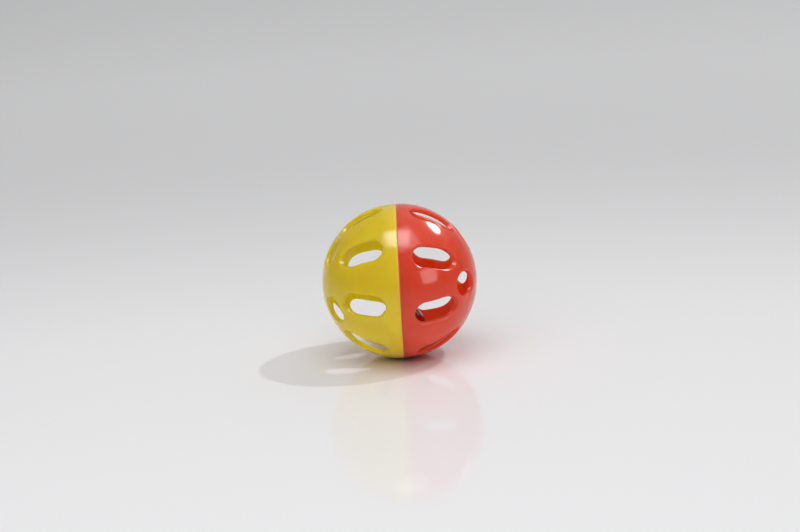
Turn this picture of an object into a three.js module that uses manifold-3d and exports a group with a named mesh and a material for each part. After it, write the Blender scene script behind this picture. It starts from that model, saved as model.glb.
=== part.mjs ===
// Bell ball for small pets: two pierced half shells round a loose jingle bell.
// Millimetres and degrees. The origin is the ball's centre, the pole axis runs along X,
// the yellow half is at -X and the red half at +X, and the ball stands on its seam at -Z.
import * as THREE from 'three';
import { mergeVertices } from 'three/addons/utils/BufferGeometryUtils.js';
import Module from 'manifold-3d';

const wasm = await Module();
wasm.setup();

// Ball
const ballRadius = 20;
const shellWall = 1.1;
const shellAround = 48;
const shellRings = 10;

// Seam: a lip on the yellow half enters a rebate in the red half, each half a wall thick
const lipLength = 1.0;
const lipClearance = 0.12;

// Long slots, along the meridians of each half
const slotCount = 8;
const slotWidth = 5.6;
const slotFromSeam = 3.6;
const slotPoleAngle = 42;
const slotArcSteps = 9;

// Round holes near each pole, drawn parallel to the pole axis
const holeCount = 4;
const holeDiameter = 6.2;
const holePoleAngle = 30;
const holeAfterSlot = 26.5;
const holeSides = 20;

// How far each half is turned about the pole axis
const redTurn = 58;
const yellowTurn = 39.5;

// Bell body, made of a dome and a cup
const bellDiameter = 12.4;
const bellWall = 0.4;
const bellAround = 36;
const bellRings = 8;
const bellRestGap = 0.2;

// Hem of the dome, folded round the cup's rim
const rimRise = 0.3;
const hemDrop = 0.5;
const hemThickness = 0.22;
const hemClearance = 0.1;
const hemRounding = 0.1;

// Sound slits of the cup: a cross with a round hole at each end
const slitCount = 4;
const slitWidth = 1.3;
const slitReachAngle = 62;
const slitHoleDiameter = 2.2;
const smallHoleSides = 14;

// Hanging loop of the bell, a bent wire with splayed feet inside the dome
const wireDiameter = 0.7;
const wireSides = 8;
const legGap = 0.2;
const eyeDiameter = 3.0;
const eyePoints = 9;
const footReach = 2.0;
const loopClearance = 0.15;
const loopSteps = 44;

// Loose pellet inside the bell
const pelletDiameter = 3.4;
const pelletRestGap = 0.2;
const pelletDetail = 2;

const innerRadius = ballRadius - shellWall;
const lipThickness = (shellWall - lipClearance) / 2;
const bellRadius = bellDiameter / 2;
const bellInnerRadius = bellRadius - bellWall;
const bellCentreDrop = innerRadius - bellRestGap - bellRadius;
const wireRadius = wireDiameter / 2;
const legOffset = (legGap + wireDiameter) / 2;

// How far a cutter runs past what it cuts, and how near two corners count as one
const beyond = 2;
const sameCorner = 1e-5;

const axisX = new THREE.Vector3(1, 0, 0);
const axisY = new THREE.Vector3(0, 1, 0);
const axisZ = new THREE.Vector3(0, 0, 1);
const quarterTurn = Math.PI / 2;
const radians = THREE.MathUtils.degToRad;

const redPlastic = new THREE.MeshStandardMaterial({ color: 0xcf3a1f, roughness: 0.18, metalness: 0 });
const yellowPlastic = new THREE.MeshStandardMaterial({ color: 0xccb41c, roughness: 0.25, metalness: 0 });
const bellPlate = new THREE.MeshStandardMaterial({ color: 0xb9b4ac, roughness: 0.22, metalness: 1 });
const loopWire = new THREE.MeshStandardMaterial({ color: 0xa8a6a2, roughness: 0.3, metalness: 1 });
const pelletSteel = new THREE.MeshStandardMaterial({ color: 0x8e8d8b, roughness: 0.35, metalness: 1 });

// A closed geometry as a solid for cutting
function toSolid(geometry) {
  const bare = geometry.clone();
  bare.deleteAttribute('normal');
  bare.deleteAttribute('uv');
  const merged = mergeVertices(bare, sameCorner);
  const corners = merged.index.array;
  const kept = [];
  for (let i = 0; i < corners.length; i += 3) {
    const [a, b, c] = [corners[i], corners[i + 1], corners[i + 2]];
    if (a !== b && b !== c && c !== a) kept.push(a, b, c);
  }
  return new wasm.Manifold(new wasm.Mesh({
    numProp: 3,
    vertProperties: new Float32Array(merged.attributes.position.array),
    triVerts: new Uint32Array(kept),
  }));
}

// A cut solid back as a geometry
function toGeometry(solid) {
  const { vertProperties, triVerts } = solid.getMesh();
  const geometry = new THREE.BufferGeometry();
  geometry.setAttribute('position', new THREE.BufferAttribute(new Float32Array(vertProperties), 3));
  geometry.setIndex(new THREE.BufferAttribute(new Uint32Array(triVerts), 1));
  geometry.computeVertexNormals();
  return geometry;
}

// A profile point: its distance from the axis and its height along it
function profilePoint(fromAxis, height) {
  return new THREE.Vector2(Math.abs(fromAxis) < sameCorner ? 0 : fromAxis, height);
}

// Profile of a sphere about the origin, between two angles from the axis's far end
function arcPoints(radius, fromAngle, toAngle, steps) {
  return Array.from({ length: steps + 1 }, (_, i) => {
    const angle = fromAngle + ((toAngle - fromAngle) * i) / steps;
    return profilePoint(radius * Math.sin(angle), radius * Math.cos(angle));
  });
}

// A round drill along Z, centred on the origin
function drillAlongZ(diameter, length, sides) {
  return new THREE.CylinderGeometry(diameter / 2, diameter / 2, length, sides).rotateX(quarterTurn);
}

// A slot's outline at one end: half round at endAt, open beyond farAt
function slotOutline(endAt, farAt) {
  const half = slotWidth / 2;
  const outline = new THREE.Shape();
  outline.moveTo(farAt, -half);
  outline.lineTo(farAt, half);
  outline.lineTo(endAt + half, half);
  outline.absarc(endAt + half, 0, half, quarterTurn, 3 * quarterTurn, false);
  outline.closePath();
  return outline;
}

// An outline drawn on the first two axes and pushed along the third
function pushed(outline, across, up, along, depth) {
  const settings = { depth, bevelEnabled: false, curveSegments: slotArcSteps };
  const placed = new THREE.Matrix4().makeBasis(across, up, along);
  return toSolid(new THREE.ExtrudeGeometry(outline, settings).applyMatrix4(placed));
}

// Half shell, pole at +X, before its openings are cut
function shellBlank(hasLip) {
  const lipRadius = innerRadius + lipThickness;
  const rebateRadius = lipRadius + lipClearance;
  const rebateDepth = lipLength + lipClearance;
  const insideEnd = hasLip ? quarterTurn : Math.acos(rebateDepth / innerRadius);
  const lip = [
    profilePoint(innerRadius, -lipLength),
    profilePoint(lipRadius, -lipLength),
    profilePoint(lipRadius, 0),
  ];
  const rebate = [
    profilePoint(rebateRadius, rebateDepth),
    profilePoint(rebateRadius, 0),
  ];
  const profile = [
    ...arcPoints(innerRadius, 0, insideEnd, shellRings),
    ...(hasLip ? lip : rebate),
    ...arcPoints(ballRadius, quarterTurn, 0, shellRings),
  ];
  return toSolid(new THREE.LatheGeometry(profile, shellAround).rotateZ(-quarterTurn));
}

// One slot: its seam end is round as seen from outside, its pole end as seen along the pole axis
function slotCutter(turn) {
  const far = ballRadius + beyond;
  const poleReach = ballRadius * Math.sin(radians(slotPoleAngle));
  const fromSeam = pushed(slotOutline(slotFromSeam, far), axisX, axisZ.clone().negate(), axisY, far);
  const fromPole = pushed(slotOutline(poleReach, far), axisY, axisZ, axisX, far);
  return fromSeam.intersect(fromPole).rotate([turn, 0, 0]);
}

// One round hole, parallel to the pole axis
function holeCutter(turn) {
  const length = ballRadius + beyond;
  const drill = drillAlongZ(holeDiameter, length, holeSides);
  drill.rotateY(quarterTurn);
  drill.translate(length / 2, ballRadius * Math.sin(radians(holePoleAngle)), 0);
  drill.rotateX(radians(turn));
  return toSolid(drill);
}

// Both halves come from one mould shape, and differ only at the seam
function halfShell(hasLip, turn) {
  let shell = shellBlank(hasLip);
  for (let i = 0; i < slotCount; i += 1) {
    shell = shell.subtract(slotCutter(turn + (360 * i) / slotCount));
  }
  for (let i = 0; i < holeCount; i += 1) {
    shell = shell.subtract(holeCutter(turn + holeAfterSlot + (360 * i) / holeCount));
  }
  return toGeometry(shell);
}

// One arm of the cross: a slit from just past the cup's lowest point to a round hole
function slitCutter(turn) {
  const reach = radians(slitReachAngle);
  const armStart = -slitWidth / 2;
  const armEnd = bellRadius * Math.sin(reach);
  const armTop = -bellRadius * Math.cos(reach);
  const depth = bellRadius + armTop + beyond;
  const arm = new THREE.BoxGeometry(armEnd - armStart, slitWidth, depth);
  arm.translate((armStart + armEnd) / 2, 0, armTop - depth / 2);
  arm.rotateZ(radians(turn));
  const drill = drillAlongZ(slitHoleDiameter, bellRadius, smallHoleSides);
  drill.translate(0, 0, -bellRadius);
  drill.rotateY(-reach);
  drill.rotateZ(radians(turn));
  return toSolid(arm).add(toSolid(drill));
}

// Lower half of the bell, with a straight rim
function bellCup() {
  const profile = [
    ...arcPoints(bellRadius, Math.PI, quarterTurn, bellRings),
    profilePoint(bellRadius, rimRise),
    profilePoint(bellInnerRadius, rimRise),
    ...arcPoints(bellInnerRadius, quarterTurn, Math.PI, bellRings),
  ];
  let cup = toSolid(new THREE.LatheGeometry(profile, bellAround).rotateX(quarterTurn));
  for (let i = 0; i < slitCount; i += 1) {
    cup = cup.subtract(slitCutter((360 * i) / slitCount));
  }
  return toGeometry(cup);
}

// Upper half of the bell, with its hem round the cup's rim and a hole for the loop's legs
function bellDome() {
  const step = rimRise + hemClearance;
  const hemTop = step + hemThickness;
  const hemInner = bellRadius + hemClearance;
  const hemOuter = hemInner + hemThickness;
  const rounding = Math.min(hemRounding, hemThickness / 2);
  const profile = [
    ...arcPoints(bellInnerRadius, 0, Math.acos(step / bellInnerRadius), bellRings),
    profilePoint(hemInner, step),
    profilePoint(hemInner, -hemDrop),
    profilePoint(hemOuter - rounding, -hemDrop),
    profilePoint(hemOuter, -hemDrop + rounding),
    profilePoint(hemOuter, hemTop - rounding),
    profilePoint(hemOuter - rounding, hemTop),
    ...arcPoints(bellRadius, Math.acos(hemTop / bellRadius), 0, bellRings),
  ];
  const blank = toSolid(new THREE.LatheGeometry(profile, bellAround).rotateX(quarterTurn));
  const drill = drillAlongZ(2 * (legOffset + wireRadius + loopClearance), bellRadius, smallHoleSides);
  drill.translate(0, 0, bellRadius);
  return toGeometry(blank.subtract(toSolid(drill)));
}

// Wire loop: foot, leg, round eye, leg, foot
function bellLoop() {
  const eyeRadius = eyeDiameter / 2;
  const eyeHeight = bellRadius + loopClearance + wireRadius + eyeRadius;
  const mouth = Math.asin(legOffset / eyeRadius);
  const footTop = Math.sqrt(bellInnerRadius ** 2 - (footReach + wireRadius) ** 2);
  const footHeight = footTop - loopClearance - wireRadius;
  const side = [
    new THREE.Vector3(footReach, 0, footHeight),
    new THREE.Vector3((footReach + legOffset) / 2, 0, footHeight),
    new THREE.Vector3(legOffset, 0, footHeight + wireDiameter),
    new THREE.Vector3(legOffset, 0, bellRadius),
  ];
  const eye = Array.from({ length: eyePoints }, (_, i) => {
    const turn = mouth + ((2 * Math.PI - 2 * mouth) * i) / (eyePoints - 1);
    return new THREE.Vector3(eyeRadius * Math.sin(turn), 0, eyeHeight - eyeRadius * Math.cos(turn));
  });
  const otherSide = side.map((p) => new THREE.Vector3(-p.x, 0, p.z)).reverse();
  const route = new THREE.CatmullRomCurve3([...side, ...eye, ...otherSide], false, 'centripetal');
  const ring = new THREE.Path().absarc(0, 0, wireRadius, 0, 2 * Math.PI, false).getPoints(wireSides);
  const section = new THREE.Shape(ring.slice(0, wireSides));
  return new THREE.ExtrudeGeometry(section, { steps: loopSteps, extrudePath: route });
}

function named(name, geometry, material) {
  const mesh = new THREE.Mesh(geometry, material);
  mesh.name = name;
  return mesh;
}

const ball = new THREE.Group();

const redHalf = named('red_half_shell', halfShell(false, redTurn), redPlastic);
const yellowHalf = named('yellow_half_shell', halfShell(true, yellowTurn), yellowPlastic);
yellowHalf.rotation.z = Math.PI;
ball.add(redHalf, yellowHalf);

const bell = new THREE.Group();
const pelletShape = new THREE.IcosahedronGeometry(pelletDiameter / 2, pelletDetail);
const pellet = named('bell_pellet', pelletShape, pelletSteel);
pellet.position.z = -(bellInnerRadius - pelletRestGap - pelletDiameter / 2);
bell.add(
  named('bell_dome', bellDome(), bellPlate),
  named('bell_cup', bellCup(), bellPlate),
  named('bell_loop', bellLoop(), loopWire),
  pellet,
);
bell.position.z = -bellCentreDrop;
ball.add(bell);

export default ball;
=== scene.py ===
import math

import bmesh
import bpy
import numpy as np
from mathutils import Matrix, Quaternion, Vector


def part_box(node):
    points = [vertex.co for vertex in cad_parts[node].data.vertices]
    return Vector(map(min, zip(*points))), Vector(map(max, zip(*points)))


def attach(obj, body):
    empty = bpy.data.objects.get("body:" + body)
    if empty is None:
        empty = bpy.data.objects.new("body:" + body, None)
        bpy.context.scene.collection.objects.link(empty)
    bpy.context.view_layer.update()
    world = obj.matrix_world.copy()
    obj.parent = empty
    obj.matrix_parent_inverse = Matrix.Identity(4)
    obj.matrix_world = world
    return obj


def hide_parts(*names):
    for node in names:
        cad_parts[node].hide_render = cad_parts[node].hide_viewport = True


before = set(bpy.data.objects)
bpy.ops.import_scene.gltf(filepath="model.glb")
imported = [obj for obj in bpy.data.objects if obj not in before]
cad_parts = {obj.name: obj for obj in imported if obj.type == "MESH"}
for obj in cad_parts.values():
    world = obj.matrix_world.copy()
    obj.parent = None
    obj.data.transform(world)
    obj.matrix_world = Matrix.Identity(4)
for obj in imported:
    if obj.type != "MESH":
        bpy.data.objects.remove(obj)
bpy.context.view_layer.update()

# Bell ball for small pets: two pierced plastic half shells round a loose jingle bell.
# Sizes are in millimetres and degrees, and meshes are brought to metres when they are made.
mm = 0.001
quarter_turn = math.pi / 2
full_turn = 2 * math.pi

# Ball
ball_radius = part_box("red_half_shell")[1].z / mm
shell_wall = 1.1

# Seam: a lip on the yellow half enters a rebate in the red half
lip_length = 1.0
lip_clearance = 0.12

# Outer edges at the seam: rounded on the red half, with a thin flash on the yellow half
seam_rounding = 0.4
seam_flash = 0.09
flash_clearance = 0.01

# Long slots, along the meridians of each half
slot_count = 8
slot_width = 5.6
slot_from_seam = 3.6
slot_pole_angle = 42

# Round holes near each pole, drawn parallel to the pole axis
hole_count = 4
hole_diameter = 6.2
hole_pole_angle = 30
hole_after_slot = 26.5

# Moulded edges of the slots and holes
outer_rounding = 0.5
inner_rounding = 0.15

# How far each half is turned about the pole axis
red_turn = 58
yellow_turn = 39.5

# Bell
bell_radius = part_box("bell_cup")[1].x / mm
bell_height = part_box("bell_cup")[0].z / mm + bell_radius
bell_wall = 0.4
rim_rise = 0.3
hem_drop = 0.5
hem_thickness = 0.22
hem_clearance = 0.1
slit_count = 4
slit_width = 1.3
slit_reach_angle = 62
slit_hole_diameter = 2.2
sheared_rounding = 0.1

# Hanging loop and pellet
wire_diameter = 0.7
leg_gap = 0.2
eye_diameter = 3.0
foot_reach = 2.0
loop_clearance = 0.15
pellet_diameter = 3.4
pellet_rest_gap = 0.2

inner_radius = ball_radius - shell_wall
lip_thickness = (shell_wall - lip_clearance) / 2
bell_inner_radius = bell_radius - bell_wall
leg_offset = (leg_gap + wire_diameter) / 2

# Fineness of the meshes, and how near two points count as one
shell_steps = 216
shell_arc_steps = 54
bell_steps = 144
bell_arc_steps = 36
rim_steps = 6
round_end_steps = 18
straight_steps = 10
corner_steps = 5
round_edge_steps = 8
eye_steps = 8
bend_steps = 6
wire_sides = 20
pellet_fineness = 5
same_place = 0.001


def spread_evenly(start, end, steps):
    """Values from start to end, with so many equal steps between them."""
    return [start + (end - start) * step / steps for step in range(steps + 1)]


def add(tree, kind, inputs=None, **settings):
    """Adds a node. Each input is a value, or the socket that feeds it."""
    node = tree.nodes.new(kind)
    for name, value in settings.items():
        setattr(node, name, value)
    for name, value in (inputs or {}).items():
        if isinstance(value, bpy.types.NodeSocket):
            tree.links.new(value, node.inputs[name])
        else:
            node.inputs[name].default_value = value
    return node


def new_object(name, vertices, faces):
    """A mesh object from places in millimetres."""
    mesh = bpy.data.meshes.new(name)
    mesh.from_pydata([Vector(place) * mm for place in vertices], [], faces)
    shape = bpy.data.objects.new(name, mesh)
    bpy.context.scene.collection.objects.link(shape)
    return shape


def remove(*shapes):
    for shape in shapes:
        bpy.data.objects.remove(shape)


def face_outwards(mesh):
    work = bmesh.new()
    work.from_mesh(mesh)
    bmesh.ops.recalc_face_normals(work, faces=work.faces)
    work.to_mesh(mesh)
    work.free()


# Openings

def slot_outline(spread, radius):
    """A slot's outline on a sphere about the ball's centre, opened out by spread.

    The pole axis is Z and the slot runs over the X side. Each point comes with the way into its wall.
    """
    half = slot_width / 2 + spread
    seam_centre = slot_from_seam + slot_width / 2
    pole_centre = ball_radius * math.sin(math.radians(slot_pole_angle)) + slot_width / 2
    side_radius = math.sqrt(radius**2 - half**2)
    seam_angle = math.asin(seam_centre / side_radius)
    pole_angle = math.acos(pole_centre / side_radius)
    outline = []
    for angle in spread_evenly(-quarter_turn, quarter_turn, round_end_steps):
        height = seam_centre - half * math.cos(angle)
        across = half * math.sin(angle)
        out = math.sqrt(radius**2 - height**2 - across**2)
        wall = Vector((0, math.sin(angle), -math.cos(angle)))
        outline.append((Vector((out, across, height)), wall))
    for angle in spread_evenly(seam_angle, pole_angle, straight_steps)[1:-1]:
        place = Vector((side_radius * math.cos(angle), half, side_radius * math.sin(angle)))
        outline.append((place, Vector((0, 1, 0))))
    for angle in spread_evenly(quarter_turn, -quarter_turn, round_end_steps):
        out = pole_centre - half * math.cos(angle)
        across = half * math.sin(angle)
        height = math.sqrt(radius**2 - out**2 - across**2)
        wall = Vector((-math.cos(angle), math.sin(angle), 0))
        outline.append((Vector((out, across, height)), wall))
    for angle in spread_evenly(pole_angle, seam_angle, straight_steps)[1:-1]:
        place = Vector((side_radius * math.cos(angle), -half, side_radius * math.sin(angle)))
        outline.append((place, Vector((0, -1, 0))))
    return outline


def hole_outline(spread, radius):
    """A round hole's outline, as slot_outline gives a slot's."""
    from_axis = ball_radius * math.sin(math.radians(hole_pole_angle))
    half = hole_diameter / 2 + spread
    outline = []
    for angle in spread_evenly(0, full_turn, 2 * (round_end_steps + straight_steps))[:-1]:
        out = from_axis + half * math.cos(angle)
        across = half * math.sin(angle)
        height = math.sqrt(radius**2 - out**2 - across**2)
        outline.append((Vector((out, across, height)), Vector((math.cos(angle), math.sin(angle), 0))))
    return outline


def rim_rings(outline, surface, rounding, side):
    """Rings round an opening's edge, from its wall to just past the surface.

    A ball of the rounding's radius rolls along the edge: side is 1 on the outside of the wall, -1 inside.
    It stops short of the surface, so that a faint crease shows where the rim begins.
    """
    short_of_surface = 0.62
    flare = 0.45
    rings = []
    last = []
    for step in range(rim_steps + 1):
        ring = []
        for centre, wall in outline(rounding, surface - side * rounding):
            turned = (-wall).slerp(centre.normalized() * side, short_of_surface * step / rim_steps)
            ring.append(centre + rounding * turned)
        rings.append(ring)
    for before, here in zip(rings[-2], rings[-1]):
        last.append(here + flare * (here - before).normalized())
    return rings + [last]


def opening_cutter(name, outline, surface, inner_surface, rounding, inner_rounding):
    """A closed cutter for one opening, with flared ends that leave rounded edges."""
    past = 2.5
    inside = rim_rings(outline, inner_surface, inner_rounding, -1)[::-1]
    outside = rim_rings(outline, surface, rounding, 1)
    rings = inside + outside
    count = len(rings[0])
    middle = sum((place for place, wall in outline(0, surface)), Vector()) / count
    vertices = [place for ring in rings for place in ring]
    inner_tip = len(vertices)
    outer_tip = inner_tip + 1
    vertices.append(middle.normalized() * (inner_surface - past))
    vertices.append(middle.normalized() * (surface + past))
    faces = []
    for ring in range(len(rings) - 1):
        for i in range(count):
            j = (i + 1) % count
            low, high = ring * count, (ring + 1) * count
            faces.append((low + i, low + j, high + j, high + i))
    top = (len(rings) - 1) * count
    for i in range(count):
        j = (i + 1) % count
        faces.append((j, i, inner_tip))
        faces.append((top + i, top + j, outer_tip))
    cutter = new_object(name, vertices, faces)
    face_outwards(cutter.data)
    return cutter


# Turned and pierced shapes

def turned_shape_tree():
    """Turns a profile round Z, then cuts two kinds of openings spaced evenly round it."""
    tree = bpy.data.node_groups.new("Turned and pierced shape", "GeometryNodeTree")
    sockets = (
        ("Profile", "NodeSocketObject"),
        ("Profile points", "NodeSocketInt"),
        ("Steps round", "NodeSocketInt"),
        ("Slot cutter", "NodeSocketObject"),
        ("Slots", "NodeSocketInt"),
        ("First slot at", "NodeSocketFloat"),
        ("Hole cutter", "NodeSocketObject"),
        ("Holes", "NodeSocketInt"),
        ("First hole at", "NodeSocketFloat"),
        ("Finish", "NodeSocketMaterial"),
    )
    for name, kind in sockets:
        tree.interface.new_socket(name, in_out="INPUT", socket_type=kind)
    tree.interface.new_socket("Shape", in_out="OUTPUT", socket_type="NodeSocketGeometry")
    given = add(tree, "NodeGroupInput").outputs

    def worked_out(operation, *values):
        inputs = dict(enumerate(values))
        return add(tree, "ShaderNodeMath", inputs, operation=operation).outputs[0]

    # A flat grid is rolled up: its columns are the profile's points, its rows the steps round
    rows = worked_out("ADD", given["Steps round"], 1)
    grid = add(tree, "GeometryNodeMeshGrid", {"Vertices X": given["Profile points"], "Vertices Y": rows})
    index = add(tree, "GeometryNodeInputIndex").outputs[0]
    column = worked_out("FLOOR", worked_out("DIVIDE", worked_out("ADD", index, 0.5), rows))
    row = worked_out("SUBTRACT", index, worked_out("MULTIPLY", column, rows))
    turn = worked_out("MULTIPLY", worked_out("DIVIDE", row, given["Steps round"]), full_turn)
    drawn = add(tree, "GeometryNodeObjectInfo", {"Object": given["Profile"]})
    drawn_points = {
        "Geometry": drawn.outputs["Geometry"],
        "Value": add(tree, "GeometryNodeInputPosition").outputs[0],
        "Index": column,
    }
    sampled = add(tree, "GeometryNodeSampleIndex", drawn_points, data_type="FLOAT_VECTOR")
    point = add(tree, "ShaderNodeSeparateXYZ", {0: sampled.outputs[0]}).outputs
    across = worked_out("MULTIPLY", point["X"], worked_out("COSINE", turn))
    along = worked_out("MULTIPLY", point["X"], worked_out("SINE", turn))
    rolled = add(tree, "ShaderNodeCombineXYZ", {"X": across, "Y": along, "Z": point["Z"]})
    outwards = add(tree, "GeometryNodeFlipFaces", {"Mesh": grid.outputs[0]})
    placing = {"Geometry": outwards.outputs[0], "Position": rolled.outputs[0]}
    placed = add(tree, "GeometryNodeSetPosition", placing)
    closing = {"Geometry": placed.outputs[0], "Distance": same_place * mm}
    shape = add(tree, "GeometryNodeMergeByDistance", closing).outputs[0]

    # The openings are instances spaced evenly round Z
    openings = (
        ("Slot cutter", "Slots", "First slot at"),
        ("Hole cutter", "Holes", "First hole at"),
    )
    for cutter, count, first in openings:
        points = add(tree, "GeometryNodePoints", {"Count": given[count]})
        apart = worked_out("DIVIDE", full_turn, given[count])
        angle = worked_out("ADD", worked_out("MULTIPLY", index, apart), given[first])
        turned = add(tree, "ShaderNodeCombineXYZ", {"Z": angle})
        rotation = add(tree, "FunctionNodeEulerToRotation", {0: turned.outputs[0]})
        tool = add(tree, "GeometryNodeObjectInfo", {"Object": given[cutter]})
        copies = add(tree, "GeometryNodeInstanceOnPoints", {
            "Points": points.outputs[0],
            "Instance": tool.outputs["Geometry"],
            "Rotation": rotation.outputs[0],
        })
        solids = {"Mesh 1": shape, "Mesh 2": copies.outputs[0]}
        cut = add(tree, "GeometryNodeMeshBoolean", solids, operation="DIFFERENCE", solver="MANIFOLD")
        shape = cut.outputs[0]

    smooth = add(tree, "GeometryNodeSetShadeSmooth", {"Geometry": shape})
    real = add(tree, "GeometryNodeRealizeInstances", {"Geometry": smooth.outputs[0]})
    finishing = {"Geometry": real.outputs[0], "Material": given["Finish"]}
    finished = add(tree, "GeometryNodeSetMaterial", finishing)
    add(tree, "NodeGroupOutput", {0: finished.outputs[0]})
    return tree


def turned_shape(name, tree, profile, steps, finish, slots=(None, 0, 0), holes=(None, 0, 0)):
    """A plain mesh of a turned and pierced shape. slots and holes are (cutter, how many, first at)."""
    drawn = new_object(name + "_profile", [(out, 0, height) for out, height in profile], [])
    shape = new_object(name, [], [])
    modifier = shape.modifiers.new("Turned and pierced", "NODES")
    modifier.node_group = tree
    values = {
        "Profile": drawn,
        "Profile points": len(profile),
        "Steps round": steps,
        "Slot cutter": slots[0],
        "Slots": slots[1],
        "First slot at": math.radians(slots[2]),
        "Hole cutter": holes[0],
        "Holes": holes[1],
        "First hole at": math.radians(holes[2]),
        "Finish": finish,
    }
    for item in tree.interface.items_tree:
        if item.in_out == "INPUT":
            modifier[item.identifier] = values[item.name]
    made = shape.evaluated_get(bpy.context.evaluated_depsgraph_get())
    plain_mesh = bpy.data.meshes.new_from_object(made)
    shape.modifiers.clear()
    shape.data = plain_mesh
    remove(drawn)
    return shape


def round_faces_exactly(mesh, radii):
    """Exact normals on round faces about the origin, so that a gloss runs clean up to every rim."""
    near = 0.004
    crease = math.radians(32)
    mesh.set_sharp_from_angle(angle=crease)
    places = np.zeros(len(mesh.vertices) * 3)
    corners = np.zeros(len(mesh.loops), dtype=int)
    normals = np.zeros(len(mesh.loops) * 3)
    mesh.vertices.foreach_get("co", places)
    mesh.loops.foreach_get("vertex_index", corners)
    mesh.corner_normals.foreach_get("vector", normals)
    arms = places.reshape(-1, 3)[corners]
    lengths = np.linalg.norm(arms, axis=1)
    radial = arms / lengths[:, None]
    normals = normals.reshape(-1, 3)
    facing = (normals * radial).sum(axis=1)
    for radius in radii:
        on_face = (abs(lengths - radius * mm) < near * mm) & (abs(facing) > math.cos(crease))
        normals[on_face] = radial[on_face] * np.sign(facing[on_face])[:, None]
    mesh.normals_split_custom_set(normals.tolist())


def arc(radius, start, end, steps):
    """Profile points of a sphere about the centre, between two angles from the pole."""
    points = []
    for angle in spread_evenly(start, end, steps):
        out = radius * math.sin(angle)
        points.append((0 if abs(out) < same_place else out, radius * math.cos(angle)))
    return points


def rounded_corner(centre, radius, start, end, steps=corner_steps):
    """Profile points of a rounded corner; its angles run from the outward direction towards the pole."""
    return [
        (centre[0] + radius * math.cos(angle), centre[1] + radius * math.sin(angle))
        for angle in spread_evenly(start, end, steps)
    ]


# Half shells

def half_shell_profile(has_lip):
    """Profile of a half shell, from the pole along the inside and back to it along the outside."""
    lip_radius = inner_radius + lip_thickness
    rounding_radius = ball_radius - seam_rounding
    if has_lip:
        apart = seam_rounding + seam_flash + flash_clearance
        flash_reach = seam_rounding - math.sqrt(apart**2 - (seam_rounding - seam_flash) ** 2)
        flash_centre = (ball_radius - seam_flash, -flash_reach)
        seam = [
            (inner_radius, -lip_length),
            (lip_radius, -lip_length),
            (lip_radius, 0),
            (rounding_radius, 0),
            *rounded_corner(flash_centre, seam_flash, -math.pi, 0, steps=round_edge_steps),
        ]
        inside_end = quarter_turn
        outside_start = quarter_turn
    else:
        rebate_radius = lip_radius + lip_clearance
        rebate_depth = lip_length + lip_clearance
        corner_angle = math.asin(seam_rounding / rounding_radius)
        corner_centre = (math.sqrt(rounding_radius**2 - seam_rounding**2), seam_rounding)
        seam = [
            (rebate_radius, rebate_depth),
            (rebate_radius, 0),
            *rounded_corner(corner_centre, seam_rounding, -quarter_turn, corner_angle),
        ]
        inside_end = math.acos(rebate_depth / inner_radius)
        outside_start = quarter_turn - corner_angle
    return [
        *arc(inner_radius, 0, inside_end, shell_arc_steps),
        *seam,
        *arc(ball_radius, outside_start, 0, shell_arc_steps)[1:],
    ]


def half_shell(name, has_lip, turn, tree, finish, cutters):
    """A pierced half shell about the Z axis. cutters are a slot's and a hole's."""
    shell = turned_shape(
        name, tree, half_shell_profile(has_lip), shell_steps, finish,
        slots=(cutters[0], slot_count, turn),
        holes=(cutters[1], hole_count, turn + hole_after_slot),
    )
    round_faces_exactly(shell.data, (ball_radius, inner_radius))
    return shell


# Bell

def drill_outline(direction, diameter):
    """The outline of a round hole whose drill points at the bell's centre."""
    axis = Vector(direction).normalized()
    first = axis.orthogonal().normalized()
    second = axis.cross(first)

    def outline(spread, radius):
        half = diameter / 2 + spread
        places = []
        for angle in spread_evenly(0, full_turn, 2 * round_end_steps)[:-1]:
            wall = first * math.cos(angle) + second * math.sin(angle)
            places.append((axis * math.sqrt(radius**2 - half**2) + wall * half, wall))
        return places

    return outline


def slit_outline(spread, radius):
    """One arm of the cup's cross, cut straight down, from the middle into its end hole."""
    half = slit_width / 2 + spread
    reach = bell_inner_radius * math.sin(math.radians(slit_reach_angle))
    flat = []
    for angle in spread_evenly(-quarter_turn, quarter_turn, round_end_steps):
        wall = (-math.cos(angle), math.sin(angle), 0)
        flat.append((-half * math.cos(angle), half * math.sin(angle), wall))
    for out in spread_evenly(0, reach, straight_steps)[1:]:
        flat.append((out, half, (0, 1, 0)))
    for out in spread_evenly(reach, 0, straight_steps)[:-1]:
        flat.append((out, -half, (0, -1, 0)))
    outline = []
    for out, across, wall in flat:
        height = -math.sqrt(radius**2 - out**2 - across**2)
        outline.append((Vector((out, across, height)), Vector(wall)))
    return outline


def bell_dome_profile():
    """Upper half of the bell, with its hem folded round the cup's rim."""
    step = rim_rise + hem_clearance
    hem_top = step + hem_thickness
    hem_inner = bell_radius + hem_clearance
    hem_outer = hem_inner + hem_thickness
    edge = hem_thickness / 2
    lower_edge = (hem_inner + edge, edge - hem_drop)
    upper_edge = (hem_outer - edge, hem_top - edge)
    return [
        *arc(bell_inner_radius, 0, math.acos(step / bell_inner_radius), bell_arc_steps),
        (hem_inner, step),
        *rounded_corner(lower_edge, edge, math.pi, full_turn, steps=round_edge_steps),
        *rounded_corner(upper_edge, edge, 0, quarter_turn),
        *arc(bell_radius, math.acos(hem_top / bell_radius), 0, bell_arc_steps),
    ]


def bell_cup_profile():
    """Lower half of the bell, with a straight rim."""
    edge = bell_wall / 4
    return [
        *arc(bell_radius, math.pi, quarter_turn, bell_arc_steps),
        *rounded_corner((bell_radius - edge, rim_rise - edge), edge, 0, quarter_turn),
        *rounded_corner((bell_inner_radius + edge, rim_rise - edge), edge, quarter_turn, math.pi),
        *arc(bell_inner_radius, quarter_turn, math.pi, bell_arc_steps),
    ]


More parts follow.
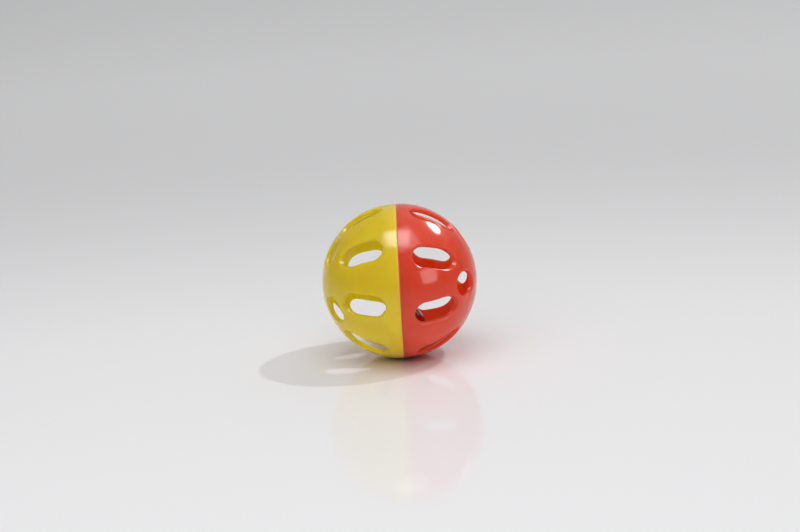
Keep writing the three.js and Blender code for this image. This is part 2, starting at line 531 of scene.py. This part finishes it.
def smooth_route(points, steps):
    """A smooth line through the points, with so many steps from each to the next."""
    held = [2 * points[0] - points[1], *points, 2 * points[-1] - points[-2]]
    route = [points[0]]
    for before, start, end, after in zip(held, held[1:], held[2:], held[3:]):
        pace_in = math.sqrt((start - before).length)
        pace = math.sqrt((end - start).length)
        pace_out = math.sqrt((after - end).length)
        leave = ((start - before) / pace_in - (end - before) / (pace_in + pace)) * pace + (end - start)
        arrive = ((after - end) / pace_out - (after - start) / (pace + pace_out)) * pace + (end - start)
        for share in spread_evenly(0, 1, steps)[1:]:
            here = 2 * share**3 - 3 * share**2
            route.append(
                start * (here + 1) - end * here
                + leave * (share**3 - 2 * share**2 + share) + arrive * (share**3 - share**2)
            )
    return route


def bent_wire(name, route, radius):
    """A round wire along a route in the XZ plane, with rounded ends."""
    beside_route = Vector((0, 1, 0))
    rings = []
    last = len(route) - 1
    for i, place in enumerate(route):
        ahead = (route[min(i + 1, last)] - route[max(i - 1, 0)]).normalized()
        rings.append((place, ahead, radius))
    for at_end, sign in ((0, -1), (-1, 1)):
        place, ahead, whole = rings[at_end]
        for angle in spread_evenly(0, quarter_turn, corner_steps)[1:-1]:
            ring = (place + ahead * sign * whole * math.sin(angle), ahead, whole * math.cos(angle))
            if sign < 0:
                rings.insert(0, ring)
            else:
                rings.append(ring)
    vertices = []
    for place, ahead, size in rings:
        side = ahead.cross(beside_route)
        for angle in spread_evenly(0, full_turn, wire_sides)[:-1]:
            vertices.append(place + size * (side * math.cos(angle) + beside_route * math.sin(angle)))
    faces = []
    for ring in range(len(rings) - 1):
        for i in range(wire_sides):
            j = (i + 1) % wire_sides
            low, high = ring * wire_sides, (ring + 1) * wire_sides
            faces.append((low + i, low + j, high + j, high + i))
    count = len(vertices)
    faces.append(tuple(range(wire_sides)))
    faces.append(tuple(range(count - 1, count - 1 - wire_sides, -1)))
    wire = new_object(name, vertices, faces)
    face_outwards(wire.data)
    wire.data.shade_smooth()
    return wire


def loop_route():
    """Foot, leg, round eye, leg, foot."""
    wire_radius = wire_diameter / 2
    eye_radius = eye_diameter / 2
    eye_height = bell_radius + loop_clearance + wire_radius + eye_radius
    mouth = math.asin(leg_offset / eye_radius)
    foot_top = math.sqrt(bell_inner_radius**2 - (foot_reach + wire_radius) ** 2)
    foot_height = foot_top - loop_clearance - wire_radius
    side = [
        Vector((foot_reach, 0, foot_height)),
        Vector(((foot_reach + leg_offset) / 2, 0, foot_height)),
        Vector((leg_offset, 0, foot_height + wire_diameter)),
        Vector((leg_offset, 0, bell_radius)),
    ]
    eye = [
        Vector((eye_radius * math.sin(turn), 0, eye_height - eye_radius * math.cos(turn)))
        for turn in spread_evenly(mouth, full_turn - mouth, eye_steps)
    ]
    other_side = [Vector((-place.x, 0, place.z)) for place in reversed(side)]
    return smooth_route(side + eye + other_side, bend_steps)


def steel_shot(name, radius):
    """A tumbled steel ball."""
    mesh = bpy.data.meshes.new(name)
    work = bmesh.new()
    bmesh.ops.create_icosphere(work, subdivisions=pellet_fineness, radius=radius * mm)
    work.to_mesh(mesh)
    work.free()
    mesh.shade_smooth()
    shot = bpy.data.objects.new(name, mesh)
    bpy.context.scene.collection.objects.link(shot)
    return shot


# Finishes

def new_finish(name):
    """A material with a Principled shader, and that shader."""
    finish = bpy.data.materials.new(name)
    finish.use_nodes = True
    return finish, finish.node_tree.nodes["Principled BSDF"]


def place_on_piece(tree):
    return add(tree, "ShaderNodeTexCoord").outputs["Object"]


def noise(tree, place, size, detail, stretch=(1, 1, 1)):
    """Noise with features of about the size given in millimetres."""
    stretched = add(tree, "ShaderNodeMapping", {"Vector": place, "Scale": stretch})
    settings = {"Vector": stretched.outputs[0], "Scale": 1 / (size * mm), "Detail": detail}
    return add(tree, "ShaderNodeTexNoise", settings).outputs["Fac"]


def remap(tree, value, low, high, to_low, to_high):
    """Takes low..high evenly to to_low..to_high, and holds the ends beyond."""
    settings = {"Value": value, "From Min": low, "From Max": high, "To Min": to_low, "To Max": to_high}
    return add(tree, "ShaderNodeMapRange", settings).outputs[0]


def mixed(tree, share, first, second):
    mix = add(tree, "ShaderNodeMixRGB", {"Fac": share, "Color1": first, "Color2": second})
    return mix.outputs[0]


def bumped(tree, height, depth, strength, under=None):
    """A bump with the depth given in millimetres, over the bump under it."""
    settings = {"Height": height, "Distance": depth * mm, "Strength": strength}
    if under is not None:
        settings["Normal"] = under
    return add(tree, "ShaderNodeBump", settings).outputs[0]


def plastic(name, colour, deep_colour, seam_highlight_colour, glow, roughness):
    """Glossy moulded plastic: streaky pigment, a pale painted highlight along the seam, mould ripple,
    scuffs and dust.

    glow is how far red, green and blue light travel in it, as shares of its depth.
    """
    streak_size = 6
    streak_limits = (0.35, 0.65)
    seam_highlight_band = (0.12 * mm, 0.38 * mm)
    seam_highlight_heights = (-4 * mm, 12 * mm)
    seam_highlight_shares = (0.12, 0.6)
    scuff_size = 0.5
    scuff_limits = (0.5, 0.75)
    scuff_roughness = 0.12
    ripple_size = 2.6
    ripple_depth = 0.012
    ripple_strength = 0.6
    grain_size = 0.25
    grain_depth = 0.0006
    grain_strength = 0.5
    speck_spacing = 0.8
    speck_limits = (0.06, 0.16)
    speck_depth = 0.01
    speck_strength = 0.6
    seam_strip = (0.1 * mm, 2.5 * mm)
    glow_depths = (0.5 * mm, 7 * mm)

    finish, shader = new_finish(name)
    tree = finish.node_tree
    place = place_on_piece(tree)
    parts = add(tree, "ShaderNodeSeparateXYZ", {0: place}).outputs
    from_seam = add(tree, "ShaderNodeMath", {0: parts["X"]}, operation="ABSOLUTE").outputs[0]

    # Pigment, and a painted highlight along the seam, which is stronger towards the top
    streaks = noise(tree, place, streak_size, detail=3, stretch=(1, 0.6, 0.6))
    pigment = mixed(tree, remap(tree, streaks, *streak_limits, 0, 1), colour, deep_colour)
    seam_highlight_strength = remap(tree, parts["Z"], *seam_highlight_heights, *seam_highlight_shares)
    seam_highlight_share = remap(tree, from_seam, *seam_highlight_band, seam_highlight_strength, 0)
    tree.links.new(mixed(tree, seam_highlight_share, pigment, seam_highlight_colour), shader.inputs["Base Color"])

    # Scuffs
    scuffs = noise(tree, place, scuff_size, detail=4, stretch=(0.25, 1, 1.6))
    worn = remap(tree, scuffs, *scuff_limits, roughness, roughness + scuff_roughness)
    tree.links.new(worn, shader.inputs["Roughness"])

    # Ripple and grain from the mould, and specks of dust
    ripple = bumped(tree, noise(tree, place, ripple_size, detail=1), ripple_depth, ripple_strength)
    grain = bumped(tree, noise(tree, place, grain_size, detail=2), grain_depth, grain_strength, ripple)
    cells = add(tree, "ShaderNodeTexVoronoi", {"Vector": place, "Scale": 1 / (speck_spacing * mm)})
    specks = remap(tree, cells.outputs["Distance"], *speck_limits, 1, 0)
    dusty = bumped(tree, specks, speck_depth, speck_strength, grain)
    tree.links.new(dusty, shader.inputs["Normal"])

    # Light goes deep into the wall, but not across the seam
    shader.inputs["IOR"].default_value = 1.45
    shader.inputs["Subsurface Weight"].default_value = 1
    shader.inputs["Subsurface Radius"].default_value = glow
    depth = remap(tree, from_seam, *seam_strip, *glow_depths)
    tree.links.new(depth, shader.inputs["Subsurface Scale"])
    return finish


def bright_metal(name, colour, dull_colour, roughness, line_size, stretch):
    """Plated or tumbled metal with fine lines, stains and small dents."""
    stain_size = 2.2
    stain_limits = (0.45, 0.7)
    line_limits = (0.3, 0.7)
    line_roughness = 0.12
    line_depth = 0.002
    line_strength = 0.5

    finish, shader = new_finish(name)
    tree = finish.node_tree
    place = place_on_piece(tree)
    stains = noise(tree, place, stain_size, detail=4)
    colouring = mixed(tree, remap(tree, stains, *stain_limits, 0, 1), colour, dull_colour)
    tree.links.new(colouring, shader.inputs["Base Color"])
    lines = noise(tree, place, line_size, detail=3, stretch=stretch)
    worn = remap(tree, lines, *line_limits, roughness, roughness + line_roughness)
    tree.links.new(worn, shader.inputs["Roughness"])
    tree.links.new(bumped(tree, lines, line_depth, line_strength), shader.inputs["Normal"])
    shader.inputs["Metallic"].default_value = 1
    return finish


# The pale seam colour given to each plastic is a painted highlight along the seam
red_plastic = plastic(
    "red_plastic",
    colour=(0.92, 0.074, 0.031, 1),
    deep_colour=(0.88, 0.064, 0.027, 1),
    seam_highlight_colour=(0.98, 0.4, 0.2, 1),
    glow=(1.0, 0.28, 0.18),
    roughness=0.11,
)
yellow_plastic = plastic(
    "yellow_plastic",
    colour=(0.98, 0.615, 0.026, 1),
    deep_colour=(0.95, 0.57, 0.022, 1),
    seam_highlight_colour=(0.98, 0.75, 0.15, 1),
    glow=(1.0, 1.15, 0.08),
    roughness=0.12,
)
# The bell's plate colours are much darker than bright nickel: painted shade for the dim inside of the
# ball
bell_plate = bright_metal(
    "bell_plate",
    colour=(0.28, 0.24, 0.26, 1),
    dull_colour=(0.19, 0.16, 0.18, 1),
    roughness=0.12,
    line_size=0.3,
    stretch=(1, 1, 0.15),
)
loop_wire = bright_metal(
    "loop_wire",
    colour=(0.66, 0.65, 0.63, 1),
    dull_colour=(0.52, 0.50, 0.47, 1),
    roughness=0.22,
    line_size=0.12,
    stretch=(1, 1, 0.2),
)
pellet_steel = bright_metal(
    "pellet_steel",
    colour=(0.56, 0.55, 0.54, 1),
    dull_colour=(0.40, 0.37, 0.34, 1),
    roughness=0.3,
    line_size=0.2,
    stretch=(1, 1, 1),
)

# The half shells, turned on Z and then laid along the pole axis, X
turned = turned_shape_tree()
shell_surfaces = (ball_radius, inner_radius, outer_rounding, inner_rounding)
slot_cutter = opening_cutter("slot_cutter", slot_outline, *shell_surfaces)
hole_cutter = opening_cutter("hole_cutter", hole_outline, *shell_surfaces)
shell_cutters = (slot_cutter, hole_cutter)
red_shell = half_shell("red_shell", False, red_turn, turned, red_plastic, shell_cutters)
yellow_shell = half_shell("yellow_shell", True, yellow_turn, turned, yellow_plastic, shell_cutters)
pole_to_x = Matrix(((0, 0, 1, 0), (1, 0, 0, 0), (0, 1, 0, 0), (0, 0, 0, 1)))
for shell in (red_shell, yellow_shell):
    shell.data.transform(pole_to_x)
yellow_shell.data.transform(Matrix.Rotation(math.pi, 4, "Z"))

# The bell, made round the origin and then lowered to where it lies
bell_surfaces = (bell_radius, bell_inner_radius, sheared_rounding, sheared_rounding / 2)
slit_reach = math.radians(slit_reach_angle)
slit_end_hole = drill_outline((math.sin(slit_reach), 0, -math.cos(slit_reach)), slit_hole_diameter)
loop_hole = drill_outline((0, 0, 1), 2 * leg_offset + wire_diameter + 2 * loop_clearance)
slit_cutter = opening_cutter("slit_cutter", slit_outline, *bell_surfaces)
slit_end_cutter = opening_cutter("slit_end_cutter", slit_end_hole, *bell_surfaces)
loop_hole_cutter = opening_cutter("loop_hole_cutter", loop_hole, *bell_surfaces)
dome = turned_shape(
    "dome", turned, bell_dome_profile(), bell_steps, bell_plate,
    slots=(loop_hole_cutter, 1, 0),
)
cup = turned_shape(
    "cup", turned, bell_cup_profile(), bell_steps, bell_plate,
    slots=(slit_cutter, slit_count, 0),
    holes=(slit_end_cutter, slit_count, 0),
)
for bell_half in (dome, cup):
    round_faces_exactly(bell_half.data, (bell_radius, bell_inner_radius))
loop = bent_wire("loop", loop_route(), wire_diameter / 2)
loop.data.materials.append(loop_wire)
pellet = steel_shot("pellet", pellet_diameter / 2)
pellet.data.materials.append(pellet_steel)
pellet_height = bell_height - (bell_inner_radius - pellet_diameter / 2 - pellet_rest_gap)
for piece in (dome, cup, loop):
    piece.data.transform(Matrix.Translation((0, 0, bell_height * mm)))
pellet.data.transform(Matrix.Translation((0, 0, pellet_height * mm)))
remove(slot_cutter, hole_cutter, slit_cutter, slit_end_cutter, loop_hole_cutter)

# The body that each piece rides, the node it stands for and its material slot
joins = (
    (red_shell, "ball", "red_half_shell", "red_plastic"),
    (yellow_shell, "ball", "yellow_half_shell", "yellow_plastic"),
    (dome, "bell", "bell_dome", "bell_plate"),
    (cup, "bell", "bell_cup", "bell_plate"),
    (loop, "bell", "bell_loop", "loop_wire"),
    (pellet, "pellet", "bell_pellet", "pellet_steel"),
)
for piece, body, node, slot in joins:
    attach(piece, body)
    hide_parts(node)

# Camera: a long lens, looking down a little, and rolled by the lean of the seam in the picture
picture_width = 800
focal_pixels = 1931
ball_below_middle = 14.7
ball_left_of_middle = 0.4
camera_distance = 25 * ball_radius
camera_elevation = math.radians(14)
camera_azimuth = math.radians(0.65)
camera_roll = math.radians(3.3)
toward_camera = Vector((
    math.sin(camera_azimuth) * math.cos(camera_elevation),
    -math.cos(camera_azimuth) * math.cos(camera_elevation),
    math.sin(camera_elevation),
))
camera_data = bpy.data.cameras.new("camera")
camera_data.sensor_width = 36
camera_data.lens = focal_pixels * camera_data.sensor_width / picture_width
camera_data.clip_start = 0.01
camera_data.clip_end = 20
camera = bpy.data.objects.new("camera", camera_data)
bpy.context.scene.collection.objects.link(camera)
camera.location = toward_camera * camera_distance * mm
camera.rotation_mode = "QUATERNION"
camera.rotation_quaternion = (
    toward_camera.to_track_quat("Z", "Y")
    @ Quaternion((0, 0, 1), -camera_roll)
    @ Quaternion((1, 0, 0), math.atan(ball_below_middle / focal_pixels))
    @ Quaternion((0, 1, 0), -math.atan(ball_left_of_middle / focal_pixels))
)
bpy.context.scene.camera = camera

# Floor: a glossy white sheet
floor_reach = 3000
floor_sides = 96
floor_edge = [
    (floor_reach * math.cos(angle), floor_reach * math.sin(angle), -ball_radius)
    for angle in spread_evenly(0, full_turn, floor_sides)[:-1]
]
floor = new_object("floor", floor_edge, [tuple(range(floor_sides))])
white_sheet, sheet_shader = new_finish("white_sheet")
sheet_shader.inputs["Base Color"].default_value = (0.97, 0.969, 0.98, 1)
sheet_shader.inputs["Roughness"].default_value = 0.08
sheet_shader.inputs["IOR"].default_value = 1.33
floor.data.materials.append(white_sheet)


# Room and lights

def light_room(room):
    """Pale behind the ball and darker in front, with a greyer band low down that the sheet mirrors."""
    colour = (0.985, 0.99, 1, 1)
    pale_side = (0.1, 0.995, 0)
    facing_limits = (0.5, 0.97)
    dark_to_pale = (0.18, 0.555)
    band_height = 0.197
    band_limits = (0.012, 0.058)
    band_share = 0.5

    room.use_nodes = True
    tree = room.node_tree
    background = tree.nodes["Background"]
    direction = add(tree, "ShaderNodeTexCoord").outputs["Generated"]
    facing = add(tree, "ShaderNodeVectorMath", {0: direction, 1: pale_side}, operation="DOT_PRODUCT")
    light = remap(tree, facing.outputs["Value"], *facing_limits, *dark_to_pale)
    height = add(tree, "ShaderNodeSeparateXYZ", {0: direction}).outputs["Z"]
    above_band = add(tree, "ShaderNodeMath", {0: height, 1: band_height}, operation="SUBTRACT")
    from_band = add(tree, "ShaderNodeMath", {0: above_band.outputs[0]}, operation="ABSOLUTE")
    band = remap(tree, from_band.outputs[0], *band_limits, band_share, 1)
    strength = add(tree, "ShaderNodeMath", {0: light, 1: band}, operation="MULTIPLY")
    background.inputs["Color"].default_value = colour
    tree.links.new(strength.outputs[0], background.inputs["Strength"])


def softbox(name, direction, distance, width, height, brightness, shape="RECTANGLE"):
    """An area light that faces the ball from a distance in metres.

    Its width and height are angles in degrees, and its brightness is its radiance.
    """
    lamp = bpy.data.lights.new(name, "AREA")
    lamp.shape = shape
    lamp.size = 2 * distance * math.tan(math.radians(width / 2))
    lamp.size_y = 2 * distance * math.tan(math.radians(height / 2))
    lamp.energy = brightness * math.pi * lamp.size * lamp.size_y
    light = bpy.data.objects.new(name, lamp)
    bpy.context.scene.collection.objects.link(light)
    direction = Vector(direction).normalized()
    light.location = direction * distance
    light.rotation_mode = "QUATERNION"
    light.rotation_quaternion = direction.to_track_quat("Z", "Y")
    return light


def lit_group(name, *shapes):
    """A group of shapes for lights to be linked to."""
    group = bpy.data.collections.new(name)
    for shape in shapes:
        group.objects.link(shape)
    return group


bpy.context.scene.world = bpy.data.worlds.new("room")
light_room(bpy.context.scene.world)

# The key casts the shadow and the streaks in it, and doesn't show in the gloss
key = softbox("key", (0.66, 0.21, 1), 3, width=2, height=1.6, brightness=640)
key.visible_glossy = False

# Panels and a ceiling for the soft light all round
softbox("key_panel", (0.42, 0.4, 0.81), 1.4, width=56, height=50, brightness=0.38)
softbox("overhead", (-0.045, -0.186, 0.982), 0.6, width=34, height=29, brightness=1.6)
ceiling = softbox("ceiling", (-0.15, -0.56, 0.81), 0.9, width=75, height=60, brightness=1.0)
ceiling.visible_glossy = False

# Lights that the sheet doesn't mirror: three for the gloss alone, and one from the side
sparkle = softbox(
    "sparkle", (0.554, 0.487, 0.671), 1.2, width=17, height=11, brightness=30, shape="ELLIPSE",
)
shine = softbox("overhead_shine", (0.005, -0.186, 0.982), 0.61, width=30, height=26, brightness=4.6)
haze = softbox("haze", (0.14, -0.2, 0.97), 0.62, width=34, height=36, brightness=2.4)
side = softbox("side", (0.714, -0.669, 0.25), 1.2, width=24, height=19, brightness=3.8)
all_but_floor = lit_group("all_but_floor", floor)
all_but_floor.collection_objects[0].light_linking.link_state = "EXCLUDE"
for light in (sparkle, shine, haze, side):
    light.light_linking.receiver_collection = all_but_floor
for light in (sparkle, shine, haze):
    light.visible_diffuse = False

# Stray light inside the ball, which makes the lower yellow wall glow
stray_lamp = bpy.data.lights.new("stray_light", "POINT")
stray_lamp.shadow_soft_size = 3 * mm
stray_lamp.energy = 0.00038
stray_light = bpy.data.objects.new("stray_light", stray_lamp)
bpy.context.scene.collection.objects.link(stray_light)
stray_light.location = Vector((-7, -8, -8.5)) * mm
stray_light.visible_camera = False
stray_light.visible_glossy = False
stray_light.light_linking.receiver_collection = lit_group("shells_alone", red_shell, yellow_shell)

bpy.context.scene.view_settings.view_transform = "Standard"
